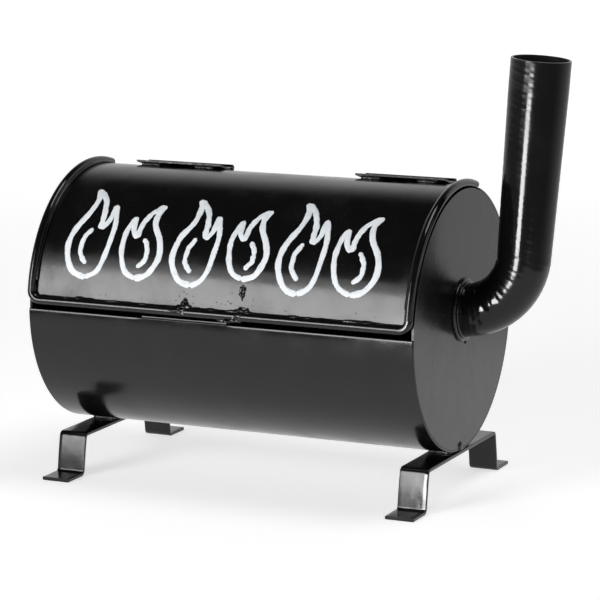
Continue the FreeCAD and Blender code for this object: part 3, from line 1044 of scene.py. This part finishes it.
        under = self.space.spot(flat[..., 0], angle, self.space.radius - 0.45 * MM)
        stroke = Surface.slab(top, under)
        chart = np.stack([across + 0 * share[:, None], fine[:, None] / (10 * MM) + 0 * across + seed], -1)
        stroke.chart = np.vstack([chart.reshape(-1, 2)] * 2)
        return stroke


@dataclass
class Flue:
    """The bent tube on the right end: crimped inside its bend, then a riser that widens and leans out."""

    space: DrumSpace
    shop: Workshop
    enamel: bpy.types.Material
    weld_enamel: bpy.types.Material
    sooted: bpy.types.Material
    wall: float = 1.8 * MM
    bend_outer: float = 22 * MM
    mouth_outer: float = 24.4 * MM
    bend_radius: float = 52 * MM
    lean: float = 4.3
    exit_z: float = 8 * MM
    mouth_z: float = 215.8 * MM
    mouth_length: float = 25 * MM
    crimps: int = 5
    crimp_depth: float = 0.28 * MM
    dents: int = 64

    @property
    def riser(self) -> float:
        """Length of the straight part, from the bend's end to the middle of the mouth."""
        end_z = self.exit_z + self.bend_radius * (1 - math.sin(math.radians(self.lean)))
        return (self.mouth_z - end_z) / math.cos(math.radians(self.lean))

    def build(self) -> None:
        """Make the tube and the weld round its foot."""
        nodes = ["flue_bend", "flue_riser"]
        finishes = [self.enamel, self.sooted]
        self.shop.piece("flue_tube", self.tube(), finishes, "drum", nodes, sharp=50)
        weld = Surface.joined(self.foot_weld())
        self.shop.piece("flue_foot_weld", weld, [self.weld_enamel], "drum", ["flue_weld_bead"], sharp=75)

    def line(self, s: Grid) -> tuple[Grid, Grid, Grid]:
        """The tube's middle line.

        Formula: for the bend's length it is a circle about the bend's centre, turned from level up to the
        lean, and after that it is straight. The inward direction points at the centre.

        Args:
            s: Lengths along the line from the end disc.

        Returns:
            Points from the drum's middle, unit vectors along, and unit vectors towards the bend's inside.
        """
        most = math.radians(90 - self.lean)
        turn = np.clip(s / self.bend_radius, 0, most)
        past = np.maximum(s - most * self.bend_radius, 0)
        along = arranged(np.cos(turn), 0, np.sin(turn))
        inward = arranged(-np.sin(turn), 0, np.cos(turn))
        centre = np.array([self.space.half_length, 0, self.exit_z + self.bend_radius])
        return centre - self.bend_radius * inward + along * past[:, None], along, inward

    def outer_radius(self, s: Grid, turn: Grid) -> Grid:
        """Radius of the tube's outside.

        Formula: the bend's radius, growing evenly to the mouth's along the riser, less a narrow bell of
        the length for each crimp, weighted by the cosine of the turn from the bend's inside, less a small
        bell of length and turn for each dent there, plus small waves left by hand grinding.

        Args:
            s: Lengths along the middle line, one a row.
            turn: Angles round it from the bend's inside, in radians.

        Returns:
            Radii, rows by turns.
        """
        bend = math.radians(90 - self.lean) * self.bend_radius
        grow = np.clip((s - bend) / (self.riser - self.mouth_length), 0, 1)
        radius = self.bend_outer + (self.mouth_outer - self.bend_outer) * grow
        inside = np.clip(np.cos(turn) * 0.62 + 0.45, 0, 1) ** 0.8
        dice = np.random.default_rng(81)
        for place in np.linspace(0.10, 1.02, self.crimps):
            centre = bend * place + dice.uniform(-1.2, 1.2) * MM + 1.3 * MM * np.sin(2 * turn + place * 9)
            width = dice.uniform(2.2, 3.4) * MM
            deep = self.crimp_depth * dice.uniform(0.45, 1.0)
            radius = radius - deep * inside * np.exp(-((s - centre) / width) ** 2)
        for _ in range(self.dents):
            off_s = (s - bend * dice.uniform(0.06, 1.04)) / (dice.uniform(1.2, 2.8) * MM)
            off_turn = (turn - dice.normal(0.45, 0.75) + np.pi) % (2 * np.pi) - np.pi
            off_turn = off_turn / dice.uniform(0.09, 0.24)
            radius = radius - dice.uniform(0.14, 0.42) * MM * np.exp(-off_s ** 2 - off_turn ** 2)
        fade = np.clip((bend + self.riser - s) / (6 * MM), 0, 1)
        share = s / (bend + self.riser)
        waves = unevenness(share * 5 + 0 * turn, 83, 6, 2) * unevenness(turn / (2 * np.pi) + 0 * s, 84, 4, 3)
        waves = waves + 0.8 * unevenness(share * 9 + turn / (2 * np.pi), 85, 5, 3)
        return radius + 0.045 * MM * fade * np.clip(waves, -2, 0.6)

    def tube(self) -> Surface:
        """The tube's wall, as one surface out along its outside, over the lip and back along its bore.

        Formula: rings about the middle line, each point at the cosine of the turn inwards and its sine to
        the front, times the radius. The lip's section is a squared-off half circle.

        Returns:
            The closed wall, its bore with the second material.
        """
        bend = math.radians(90 - self.lean) * self.bend_radius
        full = bend + self.riser
        turn = np.linspace(0, 2 * np.pi, 120, endpoint=False)[None, :]
        up = np.concatenate([np.linspace(0, bend, 150), np.linspace(bend, full - 0.4 * MM, 130)[1:]])[:, None]
        outside = self.outer_radius(up, turn)
        lip = np.linspace(0, np.pi, 9)[1:-1, None]
        middle = self.mouth_outer - self.wall / 2
        lip_radius = middle + self.wall / 2 * np.sign(np.cos(lip)) * np.abs(np.cos(lip)) ** 0.5 + 0 * turn
        lip_s = full - 0.4 * MM + 0.4 * MM * np.sin(lip) ** 0.5
        down = np.linspace(full - 0.4 * MM, 0, 120)[:, None]
        grow = np.clip((down - bend) / (self.riser - self.mouth_length), 0, 1)
        inside = self.bend_outer + (self.mouth_outer - self.bend_outer) * grow - self.wall + 0 * turn
        s = np.concatenate([up, lip_s, down])[:, 0]
        radius = np.concatenate([outside, lip_radius, inside])
        centre, _, inward = self.line(s)
        front = np.array([0.0, -1.0, 0.0])
        ring = np.cos(turn)[..., None] * inward[:, None] + np.sin(turn)[..., None] * front
        points = self.space.local(0, 0, 0) + centre[:, None] + ring * radius[..., None]
        wall = Surface.tube(points, closed=True)
        row = np.arange(len(wall.faces)) // turn.shape[1]
        wall.kinds = ((row >= len(up) + len(lip)) & (row < len(s) - 1)).astype(int)
        return wall

    def foot_weld(self) -> list[Surface]:
        """Two uneven rings round the tube where it meets the disc, and a run of paint under them.

        Formula: a ring is a circle carried round the flue's axis, its size rippled by a rectified sine
        and an unevenness of the turn.

        Returns:
            The rings, then the run.
        """
        rings = []
        turn = np.linspace(0, 2 * np.pi, 260, endpoint=False)[:, None]
        around = np.linspace(0, 2 * np.pi, 16, endpoint=False)[None, :]
        for seed, radius, out, thick in ((91, 24.1, 0.9, 2.0), (92, 22.5, 3.3, 1.05)):
            ripple = 0.05 * np.abs(np.sin(23 * turn)) + 0.09 * unevenness(turn / (2 * np.pi), seed, 9, 2)
            section = thick * MM * (1 + ripple)
            far = radius * MM + section * np.cos(around)
            x = self.space.half_length + out * MM + section * np.sin(around)
            points = self.space.local(x, far * np.sin(turn), self.exit_z + far * np.cos(turn))
            rings.append(Surface.tube(points, closed=True))
        fall = np.linspace(0, 1, 30)
        run_z = self.exit_z - (24.6 + 4.6 * fall) * MM
        run = self.space.local(self.space.half_length + 0.1 * MM, (4.0 + 0.6 * fall) * MM, run_z)
        return rings + [bead(run, 0.8 * MM, 93, 0.0, 0.30)]


@dataclass
class Legs:
    """Two flat bars bent to a hat shape, and the welds that hold them under the drum."""

    space: DrumSpace
    shop: Workshop
    enamel: bpy.types.Material
    weld_enamel: bpy.types.Material
    width: float = 25 * MM
    thick: float = 3 * MM
    bend: float = 3.5 * MM
    middles: tuple[float, float] = (-151 * MM, 161 * MM)
    leg_top_y: float = 75 * MM
    leg_bottom_y: float = 80.5 * MM
    foot_tip_y: float = 107 * MM
    corner: float = 0.7 * MM
    bow: float = 0.30 * MM

    def build(self) -> None:
        """Make both straps and their welds."""
        for seed, (name, middle) in enumerate(zip(("left", "right"), self.middles)):
            strap = self.strap(middle, 110 + seed)
            self.shop.piece(f"{name}_strap", strap, [self.enamel], "drum", [f"{name}_leg_strap"], sharp=55)
            welds = Surface.joined(self.welds(middle, 120 + 10 * seed))
            node = [f"{name}_leg_welds"]
            self.shop.piece(f"{name}_strap_weld", welds, [self.weld_enamel], "drum", node, sharp=75)

    def line(self) -> Grid:
        """The strap's middle line across the drum, with its four bends rounded.

        Formula: at each bend the two runs are cut back by the radius times the tangent of half the turn,
        and joined by a circle's arc. The legs bulge by the bow times a half sine of the height.

        Returns:
            Points (y, z) from the drum's middle.
        """
        floor = -self.space.z + self.thick / 2
        top = -self.space.radius - self.thick / 2
        half = [(self.foot_tip_y, floor), (self.leg_bottom_y, floor), (self.leg_top_y, top)]
        corners = np.array(half + [(-y, z) for y, z in reversed(half)])
        points = [corners[0]]
        for before, at, after in zip(corners[:-2], corners[1:-1], corners[2:]):
            back = (before - at) / np.linalg.norm(before - at)
            on = (after - at) / np.linalg.norm(after - at)
            half_turn = (math.pi - math.acos(float(np.clip(back @ on, -1, 1)))) / 2
            towards = (back + on) / np.linalg.norm(back + on)
            middle = at + towards * self.bend / math.cos(half_turn)
            spread = np.linspace(-half_turn, half_turn, 11)[:, None]
            across = (on - back) / np.linalg.norm(on - back)
            points += list(middle + self.bend * (across * np.sin(spread) - towards * np.cos(spread)))
        points = np.array(points + [corners[-1]])
        length = np.concatenate([[0], np.cumsum(np.linalg.norm(np.diff(points, axis=0), axis=1))])
        fine = np.unique(np.concatenate([np.linspace(0, length[-1], 120), length]))
        y, z = (np.interp(fine, length, points[:, k]) for k in (0, 1))
        rise = (z - floor) / (top - floor)
        return np.stack([y + np.sign(y) * self.bow * np.sin(np.pi * np.clip(rise, 0, 1)), z], -1)

    def strap(self, middle: float, seed: int) -> Surface:
        """One strap: a rounded rectangle carried along its line.

        Formula: the section's corner points are the half sizes less the corner's radius, plus the radius
        times the cosine and sine of the angle. The wide faces are a little uneven, as hammered bar is.

        Args:
            middle: Its middle along the drum.
            seed: Fixes its unevenness.

        Returns:
            The closed strap.
        """
        line = self.line()
        along = np.gradient(line, axis=0)
        along /= np.linalg.norm(along, axis=1)[:, None]
        out = np.stack([-along[:, 1], along[:, 0]], -1)
        hw, ht, r = self.width / 2 - self.corner, self.thick / 2 - self.corner, self.corner
        angle = np.radians(np.arange(0, 360, 18) + 9)
        round_x = np.sign(np.cos(angle)) * hw + r * np.cos(angle)
        round_t = np.sign(np.sin(angle)) * ht + r * np.sin(angle)
        flat = np.linspace(-1, 1, 9)[1:-1]
        split = len(angle) // 4
        edge_x, edge_t = flat[::-1] * hw, np.full(len(flat), self.thick / 2)
        x = np.concatenate([round_x[:split], edge_x, round_x[split:3 * split], -edge_x, round_x[3 * split:]])
        t = np.concatenate([round_t[:split], edge_t, round_t[split:3 * split], -edge_t, round_t[3 * split:]])
        share = np.linspace(0, 1, len(line))[:, None]
        uneven = 0.07 * MM * unevenness(share * 2 + x / self.width * 0.6, seed, 5, 3)
        t = t[None, :] - np.sign(t) * np.clip(uneven, 0, 1)
        y = line[:, :1] + out[:, :1] * t
        z = line[:, 1:] + out[:, 1:] * t
        return Surface.tube(self.space.local(middle + x[None, :], y, z))

    def welds(self, middle: float, seed: int) -> list[Surface]:
        """Beads in the wedge between drum and strap, and a rounded lump on the right disc's lower edge.

        Formula: a bead lies halfway down the gap that the drum's circle leaves above the strap.

        Args:
            middle: The strap's middle along the drum.
            seed: Fixes their unevenness.

        Returns:
            The beads, and the lump on the right strap.
        """
        x0 = middle - self.width / 2 + 1.5 * MM
        x1 = min(middle + self.width / 2, self.space.half_length) - 1.5 * MM
        x = np.linspace(x0, x1, steps_along(x1 - x0, 0.5 * MM))
        beads = []
        for i, (y, radius) in enumerate(((12.0, 1.0), (15.0, 1.4), (18.5, 1.9))):
            drop = self.space.radius - math.sqrt(self.space.radius ** 2 - (y * MM) ** 2)
            z = -self.space.radius + drop / 2
            for side in (-1, 1):
                path = self.space.local(x, side * y * MM, z)
                beads.append(bead(path, radius * MM, seed + i * 2 + side, 0.15, 0.2))
        if middle > 0:
            for i, (y, z, wide, tall) in enumerate(((-4.0, -105.4, 4.4, 3.9), (1.2, -107.0, 2.6, 2.0))):
                centre = self.space.local(self.space.half_length, y * MM, z * MM)
                beads.append(Surface.blob(centre, np.diag([1.5, wide, tall]) * MM, 0.12, seed + 20 + i))
        return beads


@dataclass
class Hinges:
    """Two butt hinges across the rear cut, tacked to the drum and to the lid."""

    space: DrumSpace
    shop: Workshop
    enamel: bpy.types.Material
    weld_enamel: bpy.types.Material
    middles: tuple[float, float] = (-93 * MM, 111 * MM)
    hinge_angle: float = 107.5
    leaf_width: float = 24 * MM
    half_length: float = 40 * MM
    inset: float = 6 * MM
    tack: float = 18 * MM

    def build(self) -> None:
        """Make the tack welds on both sides."""
        for name, body, side in (("drum", "drum", 1), ("lid", "lid", -1)):
            beads = Surface.joined(self.tacks(side))
            node = [f"hinge_{name}_welds"]
            self.shop.piece(f"hinge_{name}_tacks", beads, [self.weld_enamel], body, node, sharp=75)

    def tacks(self, side: int) -> list[Surface]:
        """Two beads along each leaf's free edge, which lies flat and so stands off the drum's curve.

        Formula: the edge is at the hinge's angle plus or minus the arc tangent of its distance over the
        drum's radius, and each bead starts an inset in from a leaf's end.

        Args:
            side: 1 for the drum's leaves, -1 for the lid's.

        Returns:
            Four beads.
        """
        reach = math.degrees(math.atan2(self.leaf_width + 0.8 * MM, self.space.radius))
        angle = self.hinge_angle + side * reach
        beads = []
        for i, middle in enumerate(self.middles):
            for end in (-1, 1):
                start = middle + end * (self.half_length - self.inset)
                x = np.linspace(start, start - end * self.tack, steps_along(self.tack, 0.5 * MM))
                path = self.space.spot(x, angle, self.space.radius + 0.9 * MM)
                beads.append(bead(path, 2.1 * MM, 140 + 4 * i + end + 20 * side, 0.13, 0.14, 2.4 * MM, 0.85))
        return beads

    def dress(self) -> None:
        """Finish the leaves and pins, which keep their own mesh."""
        parts = ("hinge_drum_leaf", "hinge_lid_leaf", "hinge_pin")
        self.shop.dress(self.enamel, *[f"{side}_{part}" for side in ("left", "right") for part in parts])


@dataclass
class Grates:
    """The cooking grate and the charcoal grate, with a spot weld at every bar's end."""

    shop: Workshop
    steel: bpy.types.Material
    bars: dict[str, int] = field(default_factory=lambda: {"cooking": 23, "charcoal": 25})
    rod_radius: float = 2.5 * MM

    def build(self) -> None:
        """Make the spot welds of both grates."""
        for seed, (name, count) in enumerate(self.bars.items()):
            spots = Surface.joined(self.spot_welds(name, count, 160 + 60 * seed))
            body = f"{name}_grate"
            self.shop.piece(f"{name}_grate_spots", spots, [self.steel], body, slot="grate_steel", sharp=80)

    def spot_welds(self, name: str, count: int, seed: int) -> list[Surface]:
        """Small lumps where each bar crosses the two long sides of its frame.

        Formula: the bars are at even steps between the frame's ends, with a lump on both sides of each.

        Args:
            name: The grate.
            count: How many bars it has.
            seed: Fixes their unevenness.

        Returns:
            Four lumps a bar.
        """
        low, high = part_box(f"{name}_grate_frame")
        pitch = (high.x - low.x - 2 * self.rod_radius) / (count + 1)
        lumps = []
        for i in range(count):
            x = low.x + self.rod_radius + pitch * (i + 1)
            for side, y in ((-1, low.y + self.rod_radius), (1, high.y - self.rod_radius)):
                for across in (-1, 1):
                    centre = np.array([x + across * 1.6 * MM, y, high.z + 0.15 * MM])
                    axes = np.diag([1.0, 1.5, 0.75]) * MM
                    lumps.append(Surface.blob(centre, axes, 0.12, seed + i * 4 + side + across, 0.0, 4, 8))
        return lumps

    def dress(self) -> None:
        """Finish the rods, which keep their own mesh."""
        self.shop.dress(self.steel, *[f"{n}_grate_{part}" for n in self.bars for part in ("frame", "bars")])


# The studio -----------------------------------------------------------------------------------------

@dataclass
class Studio:
    """A pale floor, soft boxes, a pale horizon under a dark ceiling, and the camera."""

    azimuth: float = 24.48
    elevation: float = 10.43
    distance: float = 2.40141
    aim: tuple[float, float, float] = (-0.02312, 0.01287, 0.1482)
    lens: float = 171.1
    floor_half: float = 30.0
    table_half: float = 0.62

    def build(self) -> None:
        """Make the whole studio."""
        floor = self.ground("floor", self.floor_half, 0.0, 0.62, 0.93)
        floor.visible_glossy = False
        floor.visible_shadow = False
        table = self.ground("table", self.table_half, -0.5 * MM, 0.12, 0.12)
        table.visible_camera = False
        table.visible_diffuse = False
        self.world()
        self.soft_box("front_left_box", (-24, 12.5), 2.3, (0.90, 1.0), 29.0)
        self.soft_box("front_left_upper_box", (-24, 29), 2.3, (0.90, 0.35), 2.5)
        self.soft_box("overhead_right_box", (100, 74), 2.6, (1.2, 1.2), 20.0)
        strip = self.soft_box("low_front_strip", (3, -1.4), 0.75, (0.20, 0.24), 5.0, (0.17, 0.0, 0.26))
        strip.visible_diffuse = False
        self.camera()

    def towards(self, azimuth: float, elevation: float, distance: float) -> Grid:
        """A place seen from the aim point: azimuth from -Y towards +X, elevation from level."""
        a, e = math.radians(azimuth), math.radians(elevation)
        way = np.array([math.sin(a) * math.cos(e), -math.cos(a) * math.cos(e), math.sin(e)])
        return np.array(self.aim) + distance * way

    def turned(self, thing: bpy.types.Object, place: Grid, target: Sequence[float] | None = None) -> None:
        """Put a light or camera at a place and point it at a target, or at the aim point."""
        thing.location = place
        look = Vector(np.array(self.aim if target is None else target) - place)
        thing.rotation_euler = look.to_track_quat("-Z", "Y").to_euler()

    def ground(self, name: str, half: float, z: float, near: float, far: float) -> bpy.types.Object:
        """A square of pale ground, which glows so that it stays even.

        Args:
            name: Its name.
            half: Half its side.
            z: Its height.
            near: How much it glows at the middle.
            far: How much it glows far off, where no soft box reaches.

        Returns:
            The new object.
        """
        mesh = bpy.data.meshes.new(name)
        corners = [(x * half, y * half, z) for x, y in ((-1, -1), (1, -1), (1, 1), (-1, 1))]
        mesh.from_pydata(corners, [], [(0, 1, 2, 3)])
        thing = bpy.data.objects.new(name, mesh)
        bpy.context.scene.collection.objects.link(thing)
        material, g = new_material(f"studio_{name}")
        away = g.signal("ShaderNodeVectorMath", "Value", {"operation": "LENGTH"}, {0: g.place()})
        glow = g.blend(away.clipped(0.5, 3.0), rgba([near] * 3), rgba([far] * 3))
        g.surface({
            "Base Color": (0.70, 0.70, 0.70, 1), "Roughness": 0.9, "Specular IOR Level": 0.0,
            "Emission Color": glow, "Emission Strength": 1.0,
        })
        mesh.materials.append(material)
        return thing

    def world(self) -> None:
        """Surroundings: a pale horizon, dark overhead and in front, and paler and higher behind the drum."""
        world = bpy.data.worlds.new("studio")
        world.use_nodes = True
        bpy.context.scene.world = world
        g = Graph(world.node_tree)
        way = g.signal("ShaderNodeTexCoord", "Generated")
        split = g.add("ShaderNodeSeparateXYZ", None, {0: way})
        behind, height = Signal(g, split.outputs["Y"]).clipped(-0.2, 0.7), Signal(g, split.outputs["Z"])
        overhead = (height - behind * 0.40).clipped(0.02, 0.42)
        upper = g.blend(overhead, (0.80, 0.80, 0.80, 1), (0.02, 0.02, 0.02, 1))
        lower = g.blend(behind, (0.20, 0.20, 0.20, 1), (0.62, 0.62, 0.62, 1))
        colour = g.blend(height.clipped(-0.08, -0.01), lower, upper)
        light = g.add("ShaderNodeBackground", None, {"Color": colour, "Strength": 1.0})
        out = g.add("ShaderNodeOutputWorld")
        g.tree.links.new(light.outputs[0], out.inputs[0])

    def soft_box(self, name: str, way: tuple[float, float], distance: float, size: tuple[float, float],
                 power: float, target: tuple[float, float, float] | None = None) -> bpy.types.Object:
        """One soft box.

        Args:
            name: Its name.
            way: Azimuth and elevation that it stands at, in degrees, seen from the aim point.
            distance: How far it is from the aim point.
            size: Its width and height.
            power: Its power in watts.
            target: What it points at, where that isn't the aim point.

        Returns:
            The new light.
        """
        data = bpy.data.lights.new(name, "AREA")
        data.shape = "RECTANGLE"
        data.size, data.size_y = size
        data.energy = power
        thing = bpy.data.objects.new(name, data)
        bpy.context.scene.collection.objects.link(thing)
        self.turned(thing, self.towards(*way, distance), target)
        thing.visible_camera = False
        return thing

    def camera(self) -> None:
        """The camera, level and far off."""
        data = bpy.data.cameras.new("camera")
        data.lens = self.lens
        data.sensor_width = 36
        thing = bpy.data.objects.new("camera", data)
        bpy.context.scene.collection.objects.link(thing)
        self.turned(thing, self.towards(self.azimuth, self.elevation, self.distance))
        bpy.context.scene.camera = thing


def clear_scene() -> None:
    """Take away whatever Blender starts with."""
    for thing in list(bpy.data.objects):
        bpy.data.objects.remove(thing)


def main() -> None:
    """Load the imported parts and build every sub-assembly round them."""
    logging.basicConfig(level=logging.INFO, format="%(message)s")
    clear_scene()
    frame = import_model()
    bpy.context.scene.view_settings.view_transform = "Standard"
    space = DrumSpace.measured()
    shop = Workshop(frame)
    enamel = Enamel("sheet_enamel").material()
    weld = Enamel("weld_enamel", Grain.WELDED, gloss=(0.14, 0.22)).material()
    rod = Enamel("rod_enamel", gloss=(0.08, 0.16), peel_size=4 * MM, peel_height=0.10 * MM).material()
    disc = Enamel("disc_enamel", Grain.DRAWN_DOWN, gloss=(0.20, 0.28)).material()
    flue = Enamel("flue_enamel", gloss=(0.11, 0.18), peel_height=0.035 * MM, specular=0.32).material()
    sooted = SootedSteel("sooted_inside", space.z - space.radius, space.z + space.radius).material()
    steel = GrateSteel("grate_steel").material()
    paint = BrushPaint("flame_paint").material()
    assemblies = [
        Drum(space, shop, enamel, disc, sooted),
        Lid(space, shop, enamel, rod, weld, sooted, paint),
        Flue(space, shop, flue, weld, sooted),
        Legs(space, shop, enamel, weld),
        Hinges(space, shop, rod, weld),
        Grates(shop, steel),
    ]
    for assembly in assemblies:
        assembly.build()
        if hasattr(assembly, "dress"):
            assembly.dress()
    Studio().build()


if __name__ == "__main__":
    main()
